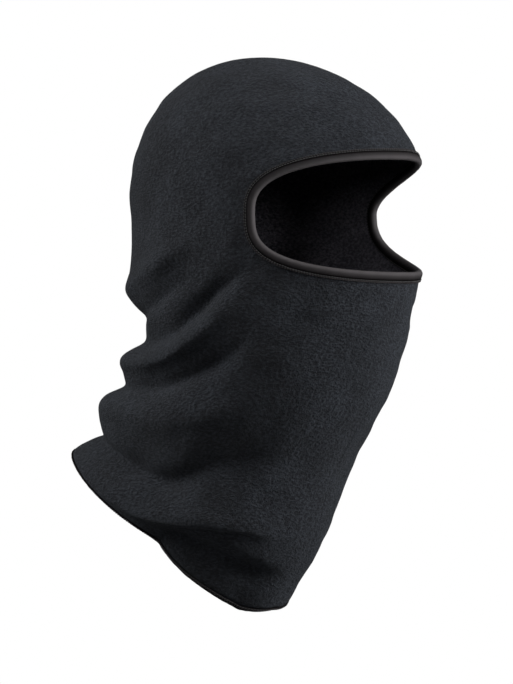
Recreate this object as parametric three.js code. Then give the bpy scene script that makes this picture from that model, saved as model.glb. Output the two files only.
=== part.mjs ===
// Fleece balaclava with one wide face opening, sewn from two mirrored side panels.
// Millimetres, +Z up. The wearer faces -Y and the wearer's right side is toward -X.
// The origin is the inside of the crown, where the top of the head bears on the cloth.
import * as THREE from "three";

// ---- cloth and trims ----
const FLEECE = 2.0; // thickness of the pile fleece
const TAPE = 0.8; // thickness of the elastic binding
const GAP = 0.3; // clearance between neighbouring pieces
const BINDING_WIDTH = 6.4; // outer leg of a binding, measured from its fold
const INNER_LEG = 5.9; // inner leg of a binding, measured from its fold
const BINDING_BENDS = [3.0, 4.5, INNER_LEG]; // its legs bend here with the cloth
const RAW_EDGE = 1.2; // the panel's cut edge stops this far short of the binding's fold
const STITCH_INSET = 1.3; // topstitching to the outer edge of the binding
const THREAD = 0.6; // width of the topstitching
const SEAM_WIDTH = 3.0; // overlocked seam allowance, across
const SEAM_HEIGHT = 4.7; // overlocked seam allowance, how far it stands inward
const LABEL = { width: 28, thickness: 0.6, from: 0.845, to: 0.95 };
const TACK = { width: 3.0, thickness: 0.6, chin: [2.0, 5.2], hem: [2.0, 4.4] };

// ---- shape of the hood ----
// Each station is one slanted oval section: its place along the hood (0 crown, 1 hem), its front and
// back points on the middle plane (y, z) and its half width. The first one is the widest of the head.
const CROWN = { y: 0, z: FLEECE };
const STATIONS = [
  { at: 0.36, front: [-115, -86], back: [90, -86], half: 79 },
  { at: 0.45, front: [-115, -122], back: [90, -116], half: 79 },
  { at: 0.54, front: [-107, -160], back: [90, -143], half: 77 },
  { at: 0.67, front: [-90, -215], back: [87, -176], half: 74 },
  { at: 0.8, front: [-56, -270], back: [103, -208], half: 70 },
  { at: 0.9, front: [-39, -316], back: [124, -231], half: 64 },
  { at: 1.0, front: [-9, -361], back: [140, -254], half: 57 },
];
const HEM_ARCH = 6; // the hem rises by this much at the sides of the neck

// The hem hangs lower on the right of the front: [degrees round from the front, drop]. The drop grows
// from nothing at the chin line over the first HEM_DROP_START degrees.
const HEM_DROP = [[0, 8], [25, 9], [45, 11], [65, 12], [82, 9], [105, 0], [180, 0]];
const HEM_DROP_START = 30;

// The last of the cloth rolls inward round this radius.
const HEM_ROLL = { length: 9, radius: 5.6 };

// The face opening: its upper, middle and lower levels along the hood, how many degrees it reaches
// round from the front, and how square its corners are. Pairs are for the right and the left.
const RIM = {
  upper: 0.304,
  middle: 0.398,
  lower: 0.4905,
  reach: [71, 75.7],
  squareUpper: [2.7, 1.91],
  squareLower: [3.3, 2.68],
};

// Folds of the gathered neck: crests (height above 0) and the valleys between them. Each runs along a
// line of [degrees from the front, place along the hood], is `width` wide to either side, hangs down
// the cloth by `hang` for each millimetre of height and starts `from` this many degrees on the right
// and on the left. Valleys close to a crease.
const FOLDS = [
  { height: 4.5, width: 9, hang: 0.3, from: [98, 104],
    line: [[98, 0.452], [108, 0.475], [121, 0.508], [134, 0.53], [180, 0.57]] },
  { height: -5.5, width: 6.5, hang: 0, from: [100, 108],
    line: [[100, 0.522], [108, 0.543], [121, 0.575], [140, 0.615], [180, 0.64]] },
  { height: -9, width: 6.5, hang: 0.1, from: [80, 86],
    line: [[73, 0.497], [85, 0.535], [96, 0.58], [107, 0.626], [119, 0.652], [180, 0.675]] },
  { height: 6.5, width: 11.5, hang: 0.8, from: [80, 86],
    line: [[79, 0.555], [91, 0.6], [101, 0.64], [113, 0.675], [130, 0.7], [180, 0.715]] },
  { height: -7.5, width: 7.5, hang: 0.1, from: [74, 78],
    line: [[70, 0.618], [80, 0.66], [92, 0.702], [106, 0.742], [118, 0.762], [180, 0.8]] },
  { height: 4, width: 14, hang: 0.6, from: [60, 72],
    line: [[60, 0.72], [75, 0.75], [85, 0.765], [101, 0.79], [130, 0.82], [180, 0.845]] },
  { height: -7, width: 12, hang: 0, from: [44, 62],
    line: [[36, 0.79], [55, 0.81], [66, 0.832], [82, 0.885], [105, 0.915], [180, 0.92]] },
  { height: -5, width: 5, hang: 0, from: [78, 80],
    line: [[60, 0.84], [73, 0.875], [82, 0.893], [91, 0.905], [105, 0.915], [180, 0.92]] },
  { height: 7.5, width: 10, hang: 1.1, from: [34, 66],
    line: [[25, 0.885], [41, 0.878], [60, 0.893], [78, 0.925], [86, 0.936], [120, 0.97], [180, 1.0]] },
  { height: -6, width: 5.5, hang: 0.1, from: [20, 62],
    line: [[0, 0.945], [43, 0.945], [68, 0.954], [77, 0.966], [86, 0.984], [105, 1.02], [180, 1.06]] },
];

// Under the lowest fold the cloth turns in and stays in as far as the hem.
const TUCK = { depth: 9, width: 10.5, from: [20, 62], line: FOLDS[FOLDS.length - 1].line };

const FOLD_FADE = 14; // degrees over which a fold dies out at its front end
const CREASE = 0.4; // how round a valley's crease is, in parts of its width

// Place along the hood where the hem band stiffens the folds, and the part of their height it keeps.
const HEM_BAND = { from: 0.955, reach: 0.02, kept: 0.6 };

const HEM_SHIFT = 25; // degrees by which the lines at the sides reach the hem further back
const EASE = 150; // how strongly those lines are pulled square to the rim and the hem, in millimetres

// ---- mesh density ----
const ROUND = 34; // columns from the chin line round to the crown line, on each side
const ALONG = 46; // rows from the face opening to the hem

const rad = THREE.MathUtils.degToRad;
const lerp = THREE.MathUtils.lerp;

// Smooth curve through the knots: cubic pieces whose slopes are weighted from both neighbours.
function spline(xs, ys, x) {
  const last = xs.length - 1;
  const clamped = THREE.MathUtils.clamp(x, xs[0], xs[last]);
  let i = 0;
  while (i < last - 1 && clamped > xs[i + 1]) i++;
  const chord = (k) => (ys[k + 1] - ys[k]) / (xs[k + 1] - xs[k]);
  const slope = (k) => {
    if (k === 0) return chord(0);
    if (k === last) return chord(last - 1);
    const before = xs[k] - xs[k - 1];
    const after = xs[k + 1] - xs[k];
    return (chord(k - 1) * after + chord(k) * before) / (before + after);
  };
  const h = xs[i + 1] - xs[i];
  const u = (clamped - xs[i]) / h;
  const rise = ys[i + 1] - ys[i];
  const a = slope(i) * h - rise;
  const b = rise - slope(i + 1) * h;
  return ys[i] + u * rise + u * (1 - u) * (a * (1 - u) + b * u);
}

const knots = new Map();
function lineAt(line, x) {
  if (!knots.has(line)) knots.set(line, [line.map((p) => p[0]), line.map((p) => p[1])]);
  return spline(...knots.get(line), x);
}

const AT = STATIONS.map((s) => s.at);
const FRONT_Y = STATIONS.map((s) => s.front[0]);
const FRONT_Z = STATIONS.map((s) => s.front[1]);
const BACK_Y = STATIONS.map((s) => s.back[0]);
const BACK_Z = STATIONS.map((s) => s.back[1]);
const HALF = STATIONS.map((s) => s.half);
const EQUATOR = AT[0];

// The hood is laid out on a flat disc: the crown at its centre, the hem at radius 1, the front toward
// -v and the wearer's right toward +u. This is the smooth shape, before any fold.
function smoothHood(u, v) {
  const along = Math.hypot(u, v);
  const angle = Math.atan2(u, -v);
  const level = Math.max(along, EQUATOR);
  const frontY = spline(AT, FRONT_Y, level);
  const frontZ = spline(AT, FRONT_Z, level);
  const backY = spline(AT, BACK_Y, level);
  const backZ = spline(AT, BACK_Z, level);
  const dome = (Math.min(along / EQUATOR, 1) * Math.PI) / 2;
  const spread = Math.sin(dome);
  const rise = Math.cos(dome);
  const midY = lerp((frontY + backY) / 2, CROWN.y, rise * rise);
  const midZ = (frontZ + backZ) / 2 + (CROWN.z - FRONT_Z[0]) * rise;
  const neck = THREE.MathUtils.clamp((along - 0.55) / 0.45, 0, 1);
  const arch = HEM_ARCH * (Math.sin(angle) * neck) ** 2;
  const turned = THREE.MathUtils.radToDeg(angle);
  const begun = THREE.MathUtils.smoothstep(turned, 0, HEM_DROP_START);
  const drop = lineAt(HEM_DROP, turned) * begun * neck ** 6;
  return new THREE.Vector3(
    -spline(AT, HALF, level) * spread * Math.sin(angle),
    midY - ((backY - frontY) / 2) * spread * Math.cos(angle),
    midZ - ((backZ - frontZ) / 2) * spread * Math.cos(angle) + arch - drop,
  );
}

const STEP = 3e-4; // difference step on the disc

// Outward normal of any surface laid out on the same disc.
function normalOf(surface, u, v) {
  const du = surface(u + STEP, v).sub(surface(u - STEP, v));
  const dv = surface(u, v + STEP).sub(surface(u, v - STEP));
  return dv.cross(du).normalize();
}

// How far a fold that starts `from` these degrees has grown at this angle.
function grown(from, u, angle) {
  const start = from[u >= 0 ? 0 : 1];
  return THREE.MathUtils.smoothstep(angle, start - FOLD_FADE, start + FOLD_FADE);
}

// Height of the folds off the smooth hood, and how far they hang down the cloth. They grow lower and
// straighter where the firm hem begins. `stretch` is the length of cloth per unit of the disc.
function foldOffsets(u, v, stretch) {
  const radius = Math.hypot(u, v);
  const past = Math.max(radius - HEM_BAND.from, 0);
  const along = Math.min(radius, HEM_BAND.from) + HEM_BAND.reach * Math.tanh(past / HEM_BAND.reach);
  const angle = THREE.MathUtils.radToDeg(Math.abs(Math.atan2(u, -v)));
  const kept = 1 - (1 - HEM_BAND.kept) * THREE.MathUtils.smoothstep(radius, HEM_BAND.from, 1);
  let height = 0;
  let hang = 0;
  for (const fold of FOLDS) {
    const off = ((along - lineAt(fold.line, angle)) * stretch) / fold.width;
    const profile = fold.height > 0 ? Math.exp(-off * off) : Math.exp(CREASE - Math.hypot(off, CREASE));
    const one = kept * grown(fold.from, u, angle) * fold.height * profile;
    height += one;
    hang += fold.hang * one;
  }
  const under = ((radius - lineAt(TUCK.line, angle)) * stretch) / TUCK.width;
  height -= TUCK.depth * grown(TUCK.from, u, angle) * THREE.MathUtils.smoothstep(under, -1, 1);
  return { height, hang };
}

// The outer face of the fleece, with its folds and its hem rolled a little inward. The folds hang down
// the lines from the crown; the roll runs square to the hem.
function hood(u, v) {
  const point = smoothHood(u, v);
  const radius = Math.hypot(u, v) || 1;
  const down = smoothHood(u + (STEP * u) / radius, v + (STEP * v) / radius).sub(point).divideScalar(STEP);
  const { height, hang } = foldOffsets(u, v, down.length());
  const normal = normalOf(smoothHood, u, v);
  const level = smoothHood(u - STEP * v, v + STEP * u).sub(point);
  const square = level.cross(normal).normalize();
  square.multiplyScalar(Math.sign(square.dot(down)));
  const rolled = Math.max(HEM_ROLL.length - (1 - radius) * down.dot(square), 0);
  const turned = rolled / HEM_ROLL.radius;
  return point
    .addScaledVector(normal, height - HEM_ROLL.radius * (1 - Math.cos(turned)))
    .addScaledVector(square, HEM_ROLL.radius * Math.sin(turned) - rolled)
    .addScaledVector(down.normalize(), hang);
}

// Edge of the face opening on the disc; turn runs from 0 at the chin to 1 at the brow on the right
// side, and on to 2 at the chin again on the left side.
function rim(turn) {
  const across = Math.sin(Math.PI * turn);
  const up = Math.cos(Math.PI * turn);
  const side = across < 0 ? 1 : 0;
  const square = (up > 0 ? RIM.squareLower : RIM.squareUpper)[side];
  const tall = (up > 0 ? RIM.lower : RIM.upper) - RIM.middle;
  const level = RIM.middle + tall * Math.abs(up) ** (2 / square);
  const angle = rad(RIM.reach[side]) * Math.sign(across) * Math.abs(across) ** (2 / square);
  return [level * Math.sin(angle), -level * Math.cos(angle)];
}

// The hem runs the same way round; it is reached a little further back than the rim.
function hem(turn) {
  const angle = Math.PI * turn + rad(HEM_SHIFT) * Math.sin(Math.PI * turn);
  return [Math.sin(angle), -Math.cos(angle)];
}

// Step on the disc that leaves an edge squarely, one millimetre long on the smooth hood.
function squareOff(edge, turn) {
  const [u, v] = edge(turn);
  const tangent = smoothHood(...edge(turn + STEP)).sub(smoothHood(...edge(turn - STEP)));
  const alongU = smoothHood(u + STEP, v).sub(smoothHood(u - STEP, v)).divideScalar(2 * STEP);
  const alongV = smoothHood(u, v + STEP).sub(smoothHood(u, v - STEP)).divideScalar(2 * STEP);
  const du = alongV.dot(tangent);
  const dv = -alongU.dot(tangent);
  const length = alongU.multiplyScalar(du).addScaledVector(alongV, dv).length();
  return [du / length, dv / length];
}

// Point of the disc on the line from the rim (share 0) to the hem (share 1): a curve that leaves both
// edges squarely.
function disc(turn, share) {
  const line = lineEnds(turn);
  const s2 = share * share;
  const s3 = s2 * share;
  return [0, 1].map(
    (k) =>
      (2 * s3 - 3 * s2 + 1) * line.rim[k] +
      (s3 - 2 * s2 + share) * EASE * line.offRim[k] +
      (3 * s2 - 2 * s3) * line.hem[k] +
      (s3 - s2) * EASE * line.offHem[k],
  );
}

const knownLines = new Map();
function lineEnds(turn) {
  if (!knownLines.has(turn)) {
    knownLines.set(turn, {
      rim: rim(turn),
      hem: hem(turn),
      offRim: squareOff(rim, turn),
      offHem: squareOff(hem, turn),
    });
  }
  return knownLines.get(turn);
}

// Share along the line at which the cloth is `distance` millimetres from the rim or from the hem.
function shareAt(turn, distance, fromHem) {
  const edge = fromHem ? 1 : 0;
  const sign = fromHem ? -1 : 1;
  const origin = smoothHood(...disc(turn, edge));
  let amount = 0.01;
  for (let i = 0; i < 8; i++) {
    const reached = smoothHood(...disc(turn, edge + sign * amount)).distanceTo(origin);
    amount *= distance / reached;
  }
  return edge + sign * amount;
}

// Point `depth` millimetres outside the fleece's outer face (negative is inside).
function clothPoint(turn, share, depth) {
  const [u, v] = disc(turn, share);
  return hood(u, v).addScaledVector(normalOf(hood, u, v), depth);
}

// Point of a binding: `distance` from its fold line and `depth` off the fleece's outer face.
// Distances short of the fold continue straight off the edge of the cloth.
function bindingPoint(turn, distance, depth, fromHem) {
  const near = Math.max(distance, 0.5);
  const share = shareAt(turn, near, fromHem);
  const point = clothPoint(turn, share, depth);
  if (near === distance) return point;
  const further = clothPoint(turn, shareAt(turn, near + 1, fromHem), depth);
  return point.addScaledVector(further.sub(point), distance - near);
}

// Closed body from rings of points; `loop` joins the last ring to the first, otherwise both ends are
// capped.
function sweep(rings, loop) {
  const size = rings[0].length;
  const points = rings.flat();
  const index = [];
  const count = loop ? rings.length : rings.length - 1;
  for (let i = 0; i < count; i++) {
    const a = i * size;
    const b = ((i + 1) % rings.length) * size;
    for (let k = 0; k < size; k++) {
      const next = (k + 1) % size;
      index.push(...quad(points, a + k, b + k, b + next, a + next));
    }
  }
  if (!loop) {
    const end = (rings.length - 1) * size;
    for (let k = 1; k < size - 1; k++) {
      index.push(0, k, k + 1, end, end + k + 1, end + k);
    }
  }
  return solid(points, index);
}

// Two triangles of a four-cornered face, split along its shorter diagonal.
function quad(points, a, b, c, d) {
  const acIsShorter = points[a].distanceTo(points[c]) <= points[b].distanceTo(points[d]);
  return acIsShorter ? [a, b, c, a, c, d] : [a, b, d, b, c, d];
}

// Indexed geometry whose faces look outward: the signed volume decides the winding.
function solid(points, index) {
  let volume = 0;
  for (let i = 0; i < index.length; i += 3) {
    const [a, b, c] = [0, 1, 2].map((k) => points[index[i + k]]);
    volume += a.dot(b.clone().cross(c));
  }
  if (volume < 0) index.reverse();
  const positions = points.flatMap((p) => p.toArray());
  const geometry = new THREE.BufferGeometry();
  geometry.setAttribute("position", new THREE.Float32BufferAttribute(positions, 3));
  geometry.setIndex(index);
  geometry.computeVertexNormals();
  return geometry;
}

// One side panel: outer and inner faces joined round all four edges.
function panelGeometry(side) {
  const columns = [...Array(ROUND + 1).keys()].map((i) => i / ROUND);
  const faces = [0, -FLEECE].map((depth) => columns.map((turn) => panelColumn(turn, depth, side)));
  const rows = faces[0][0].length;
  const width = ROUND + 1;
  const points = faces.flat(2);
  const id = (face, i, j) => face * width * rows + i * rows + j;
  const index = [];
  const add = (...corners) => index.push(...quad(points, ...corners));
  for (let i = 0; i < ROUND; i++) {
    for (let j = 0; j < rows - 1; j++) {
      add(id(0, i, j), id(0, i + 1, j), id(0, i + 1, j + 1), id(0, i, j + 1));
      add(id(1, i, j), id(1, i, j + 1), id(1, i + 1, j + 1), id(1, i + 1, j));
    }
    add(id(0, i, 0), id(1, i, 0), id(1, i + 1, 0), id(0, i + 1, 0));
    add(id(0, i + 1, rows - 1), id(1, i + 1, rows - 1), id(1, i, rows - 1), id(0, i, rows - 1));
  }
  for (let j = 0; j < rows - 1; j++) {
    add(id(0, 0, j), id(0, 0, j + 1), id(1, 0, j + 1), id(1, 0, j));
    add(id(0, ROUND, j + 1), id(0, ROUND, j), id(1, ROUND, j), id(1, ROUND, j + 1));
  }
  return solid(points, index);
}

// Rows of one column: close together under each binding and on the roll of the hem, evenly spaced
// between them.
const NEAR_RIM = [RAW_EDGE, ...BINDING_BENDS, BINDING_WIDTH];
const NEAR_HEM = [...NEAR_RIM, HEM_ROLL.length + 1];
function rowShares(turn) {
  const nearRim = NEAR_RIM.map((d) => shareAt(turn, d, false));
  const nearHem = NEAR_HEM.map((d) => shareAt(turn, d, true)).reverse();
  const between = [];
  for (let j = 1; j < ALONG; j++) between.push(lerp(nearRim.at(-1), nearHem[0], j / ALONG));
  return [...nearRim, ...between, ...nearHem];
}

// Side -1 is the wearer's right. The panel stops just short of the middle plane.
function panelColumn(turn, depth, side) {
  const way = side < 0 ? turn : 2 - turn;
  return rowShares(way).map((share) => {
    const point = clothPoint(way, share, depth);
    point.x = side * Math.max(side * point.x, GAP / 2);
    return point;
  });
}

// Cross-section of a binding folded over the cut edge, as [distance from the fold, depth].
function bindingSection() {
  const outside = GAP;
  const inside = -FLEECE - GAP;
  const centre = (outside + inside) / 2;
  const bore = (outside - inside) / 2;
  const shell = bore + TAPE;
  const start = shell - TAPE / 2;
  const around = [0.25, 0.5, 0.75].map((part) => Math.PI * part);
  const arc = (radius) =>
    around.map((angle) => [start - radius * Math.sin(angle), centre + radius * Math.cos(angle)]);
  const bends = (depth) => BINDING_BENDS.map((distance) => [distance, depth]);
  return [
    [BINDING_WIDTH, outside],
    [BINDING_WIDTH, outside + TAPE],
    ...bends(outside + TAPE).reverse(),
    [start, outside + TAPE],
    ...arc(shell),
    [start, inside - TAPE],
    ...bends(inside - TAPE),
    ...bends(inside).reverse(),
    [start, inside],
    ...arc(bore).reverse(),
    [start, outside],
    ...bends(outside),
  ];
}

// A section carried round the whole rim or hem, over both sides.
function loopGeometry(section, fromHem) {
  const rings = [];
  for (let i = 0; i < 2 * ROUND; i++) {
    const turn = i / ROUND;
    rings.push(section.map(([distance, depth]) => bindingPoint(turn, distance, depth, fromHem)));
  }
  return sweep(rings, true);
}

function stitchSection() {
  const middle = BINDING_WIDTH - STITCH_INSET;
  const base = 2 * GAP + TAPE;
  return [
    [middle - THREAD / 2, base],
    [middle + THREAD / 2, base],
    [middle + THREAD / 2, base + THREAD * 0.7],
    [middle - THREAD / 2, base + THREAD * 0.7],
  ];
}

// Point on the middle plane just inside the cloth, and `stand` millimetres further in, square to the
// unfolded cloth. Turn 1 is the crown and back line, turn 0 the chin line.
function insidePoint(turn, share, stand) {
  const root = clothPoint(turn, share, -FLEECE - 2 * GAP).setX(0);
  const outward = normalOf(smoothHood, ...disc(turn, share)).setX(0).normalize();
  return root.addScaledVector(outward, -stand);
}

// Bar along the middle plane; `root` and `tip` give its two sides at each share.
function middleBar(shares, width, root, tip) {
  const across = new THREE.Vector3(width / 2, 0, 0);
  const rings = shares.map((share) => {
    const near = root(share);
    const far = tip(share);
    return [near.clone().sub(across), near.add(across), far.clone().add(across), far.sub(across)];
  });
  return sweep(rings, false);
}

// A seam follows the panel's own rows and stops clear of the rim's binding and of the hem's roll.
function seamGeometry(turn) {
  const shares = rowShares(turn).slice(NEAR_RIM.length - 1, 1 - NEAR_HEM.length);
  const point = (stand) => (share) => insidePoint(turn, share, stand);
  return middleBar(shares, SEAM_WIDTH, point(0), point(SEAM_HEIGHT));
}

// The label lies over the inner edge of the back seam.
function labelGeometry() {
  const start = Math.abs(rim(1)[1]);
  const inLabel = (share) => {
    const place = share * (1 + start) - start;
    return place >= LABEL.from && place <= LABEL.to;
  };
  const stand = SEAM_HEIGHT + 2 * GAP;
  const point = (depth) => (share) => insidePoint(1, share, depth);
  return middleBar(rowShares(1).filter(inLabel), LABEL.width, point(stand), point(stand + LABEL.thickness));
}

// Bar tacks close the joins of the bindings: inside at the chin, outside at the back of the hem.
function tackGeometry(turn, fromHem) {
  const ends = fromHem ? TACK.hem : TACK.chin;
  const shares = ends.map((distance) => shareAt(turn, distance, fromHem));
  const near = fromHem ? 2 * GAP + TAPE : -FLEECE - 3 * GAP - TAPE;
  const far = near + Math.sign(near) * TACK.thickness;
  const point = (depth) => (share) => clothPoint(turn, share, depth);
  return middleBar(shares, TACK.width, point(near), point(far));
}

function piece(name, geometry, color, roughness) {
  const material = new THREE.MeshStandardMaterial({ color, roughness, metalness: 0 });
  const mesh = new THREE.Mesh(geometry, material);
  mesh.name = name;
  return mesh;
}

const FLEECE_COLOR = 0x24272c;
const TAPE_COLOR = 0x1b1918;
const THREAD_COLOR = 0x161616;
const LABEL_COLOR = 0xc8c8c4;

const balaclava = new THREE.Group();
balaclava.add(
  piece("right_panel", panelGeometry(-1), FLEECE_COLOR, 0.95),
  piece("left_panel", panelGeometry(1), FLEECE_COLOR, 0.95),
  piece("crown_seam", seamGeometry(1), THREAD_COLOR, 0.9),
  piece("chin_seam", seamGeometry(0), THREAD_COLOR, 0.9),
  piece("face_binding", loopGeometry(bindingSection(), false), TAPE_COLOR, 0.5),
  piece("face_stitching", loopGeometry(stitchSection(), false), THREAD_COLOR, 0.6),
  piece("face_bar_tack", tackGeometry(0, false), THREAD_COLOR, 0.6),
  piece("hem_binding", loopGeometry(bindingSection(), true), TAPE_COLOR, 0.5),
  piece("hem_stitching", loopGeometry(stitchSection(), true), THREAD_COLOR, 0.6),
  piece("hem_bar_tack", tackGeometry(1, true), THREAD_COLOR, 0.6),
  piece("care_label", labelGeometry(), LABEL_COLOR, 0.8),
);

export default balaclava;
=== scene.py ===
"""Looks of a fleece balaclava, sewn from two side panels with taped edges, built round its CAD frame."""

import math

import bpy
import numpy as np
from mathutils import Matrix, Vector


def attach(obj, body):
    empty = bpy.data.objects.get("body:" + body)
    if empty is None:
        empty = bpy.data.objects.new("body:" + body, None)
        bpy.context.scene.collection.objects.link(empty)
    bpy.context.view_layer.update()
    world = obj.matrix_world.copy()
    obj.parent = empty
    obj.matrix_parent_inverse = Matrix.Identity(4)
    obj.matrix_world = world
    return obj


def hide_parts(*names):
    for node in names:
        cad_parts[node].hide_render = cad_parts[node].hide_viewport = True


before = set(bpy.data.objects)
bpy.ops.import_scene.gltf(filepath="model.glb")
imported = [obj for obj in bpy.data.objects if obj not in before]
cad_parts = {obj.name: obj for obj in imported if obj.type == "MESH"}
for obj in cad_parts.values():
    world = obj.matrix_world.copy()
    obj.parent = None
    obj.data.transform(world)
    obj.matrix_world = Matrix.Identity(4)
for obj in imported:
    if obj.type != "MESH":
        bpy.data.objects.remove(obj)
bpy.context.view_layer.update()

MM = 0.001

# ---- cloth and trims, in millimetres ----
FLEECE = 2.0
TAPE = 0.8
GAP = 0.3              # clearance between the tape and the fleece
BINDING_WIDTH = 6.4    # outer leg of a binding, from its fold line
INNER_LEG = 5.9
RAW_EDGE = 1.2         # the fleece's cut edge, from the binding's fold line
LOOP_AT = 3.5          # where a binding's length is measured, from its fold line
STITCH_INSET = 1.35    # stitching, from the outer leg's edge
STITCH_PITCH = 1.8
STITCH_LENGTH = 1.3
THREAD_RADIUS = 0.3
FINE_THREAD = 0.2      # radius of the overlock's and the bar tacks' thread
MIDDLE_GAP = 0.03      # between each panel and the middle plane
SEAM_WIDTH = 2.8
SEAM_HEIGHT = 4.6
OVERLOCK_PITCH = 2.6
LABEL = {"width": 28.0, "thickness": 0.5, "from": 0.845, "to": 0.95, "curl": 1.6, "ripple": 0.35}
LABEL_GRID = (26, 23)  # rows and columns of points
# Bar tacks, with where each starts and ends from its binding's fold line.
TACK = {"width": 3.0, "chin": (2.2, 5.2), "hem": (2.0, 4.4), "strands": 11}

# ---- shape of the hood ----
# Lengths are in millimetres. Each station is one slanted oval section: its place along the hood (0 crown,
# 1 hem), the y and z of its front point, the y and z of its back point, and its half width.
CROWN_Z = FLEECE
STATIONS = np.array([
    (0.36, -115, -86, 90, -86, 79),
    (0.45, -115, -122, 90, -116, 79),
    (0.54, -107, -160, 90, -143, 77),
    (0.67, -90, -215, 87, -176, 74),
    (0.80, -56, -270, 103, -208, 70),
    (0.90, -39, -316, 124, -231, 64),
    (1.00, -9, -361, 140, -254, 57),
], float)
NECK = {"from": 0.55, "length": 0.45}
HEM_ARCH = 6.0         # how far the hem rises at the sides
# How far the hem hangs down on the wearer's right, by degrees from the front.
HEM_DIP = [(0, 8), (25, 9), (45, 11), (65, 12), (82, 9), (105, 0), (180, 0)]
HEM_DIP_START = 30.0   # degrees over which the dip grows from nothing at the chin line
HEM_DIP_POWER = 6      # how much the dip keeps to the low end of the neck
HEM_SHIFT = 25.0       # degrees by which the lines at the sides reach the hem further back
EASE = 150.0           # how strongly those lines are pulled square to the rim and the hem
STEP = 3e-4            # difference step on the disc

# The face opening: its upper, middle and lower levels along the hood, how many degrees it reaches round
# from the front, and how square its corners are. Pairs are for the right and the left.
RIM = {"upper": 0.304, "middle": 0.398, "lower": 0.4905, "reach": (71.0, 75.7)}
RIM_SQUARE = {"upper": (2.7, 1.91), "lower": (3.3, 2.68)}

# Line of the lowest valley: degrees from the front, and place along the hood.
LOWEST_VALLEY = [(0, 0.945), (43, 0.945), (68, 0.954), (77, 0.966), (86, 0.984), (105, 1.02), (180, 1.06)]

# Folds of the gathered neck: height (below 0 for a valley), half width, how far the fold hangs down the
# cloth for each millimetre of height, the degrees from the front at which it is half grown on the right
# and on the left, and its line of (degrees from the front, place along the hood). Valleys close to a crease.
FOLDS = [
    (4.5, 9.0, 0.3, (98, 104),
     [(98, 0.452), (108, 0.475), (121, 0.508), (134, 0.53), (180, 0.57)]),
    (-5.5, 6.5, 0.0, (100, 108),
     [(100, 0.522), (108, 0.543), (121, 0.575), (140, 0.615), (180, 0.64)]),
    (-9.0, 6.5, 0.1, (80, 86),
     [(73, 0.497), (85, 0.535), (96, 0.58), (107, 0.626), (119, 0.652), (180, 0.675)]),
    (6.5, 11.5, 0.8, (80, 86),
     [(79, 0.555), (91, 0.6), (101, 0.64), (113, 0.675), (130, 0.7), (180, 0.715)]),
    (-7.5, 7.5, 0.1, (74, 78),
     [(70, 0.618), (80, 0.66), (92, 0.702), (106, 0.742), (118, 0.762), (180, 0.8)]),
    (4.0, 14.0, 0.6, (60, 72),
     [(60, 0.72), (75, 0.75), (85, 0.765), (101, 0.79), (130, 0.82), (180, 0.845)]),
    (-7.0, 12.0, 0.0, (44, 62),
     [(36, 0.79), (55, 0.81), (66, 0.832), (82, 0.885), (105, 0.915), (180, 0.92)]),
    (-5.0, 5.0, 0.0, (78, 80),
     [(60, 0.84), (73, 0.875), (82, 0.893), (91, 0.905), (105, 0.915), (180, 0.92)]),
    (7.5, 10.0, 1.1, (34, 66),
     [(25, 0.885), (41, 0.878), (60, 0.893), (78, 0.925), (86, 0.936), (120, 0.97), (180, 1.0)]),
    (-6.0, 5.5, 0.1, (20, 62), LOWEST_VALLEY),
]
FOLD_FADE = 14.0   # degrees to either side of that place in which a fold grows
CREASE = 0.4       # how round a valley's crease is, in parts of its width
# Under the lowest valley the cloth turns in and stays in as far as the hem.
TUCK = {"depth": 9.0, "width": 10.5, "starts": (20, 62)}
# Place along the hood where the hem band stiffens the folds, and the part of their height it keeps.
HEM_BAND = {"from": 0.955, "reach": 0.02, "kept": 0.6}
# The last of the cloth rolls inward round this radius.
HEM_ROLL = {"length": 9.0, "radius": 5.6}

# Small puckers and creases: degrees from the front (above 0 on the right), place along the hood, half
# length and half width in millimetres, tilt of the crease in degrees, and height.
PUCKERS = [
    (30, 0.20, 12, 3.0, 50, -0.9),
    (22, 0.215, 9, 2.4, 65, 0.7),
    (38, 0.24, 14, 3.2, 35, -0.6),
    (30, 0.535, 16, 2.6, 8, -0.8),
    (34, 0.552, 18, 2.8, 4, 0.8),
    (44, 0.575, 15, 3.0, -6, -0.6),
    (-26, 0.21, 11, 2.8, -55, -0.8),
    (-36, 0.55, 17, 2.8, -6, -0.8),
    (-30, 0.575, 15, 2.6, -2, 0.6),
]
# About how many millimetres of cloth a degree round the face and a unit of place are worth to a pucker.
DEGREE_MM = 1.6
PLACE_MM = 380.0

# Uneven lie of the cloth: wavelength, height and seed of each layer, in millimetres.
UNEVEN = [(60.0, 0.7, 11), (24.0, 0.35, 12), (9.0, 0.09, 13)]
UNEVEN_GROWS = {"binding": (7, 22), "seam": (1, 24)}   # from nothing to full, this far off each
RIM_GATHER = {"grows": (6, 11), "wave": 13.0, "height": 0.3, "reach": 16.0}
SEAM_DIP = {"depth": 0.25, "width": 1.3, "pucker": 0.08, "pitch": 7.5}

# ---- mesh density ----
COLUMNS = 170
ROWS = 230
RINGS = 440


def spline(xs, ys, x):
    """Smooth curve through the knots: cubic pieces whose slopes are weighted from both neighbours."""
    xs = np.asarray(xs, float)
    ys = np.asarray(ys, float)
    x = np.clip(x, xs[0], xs[-1])
    h = np.diff(xs)
    chord = np.diff(ys) / h
    slope = np.empty_like(xs)
    slope[0] = chord[0]
    slope[-1] = chord[-1]
    slope[1:-1] = (chord[:-1] * h[1:] + chord[1:] * h[:-1]) / (h[:-1] + h[1:])
    i = np.clip(np.searchsorted(xs, x, side="left") - 1, 0, len(xs) - 2)
    u = (x - xs[i]) / h[i]
    rise = ys[i + 1] - ys[i]
    a = slope[i] * h[i] - rise
    b = rise - slope[i + 1] * h[i]
    return ys[i] + u * rise + u * (1 - u) * (a * (1 - u) + b * u)


def line_at(line, x):
    """Height at x of the smooth curve through a list of (x, height)."""
    return spline(*zip(*line), x)


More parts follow.
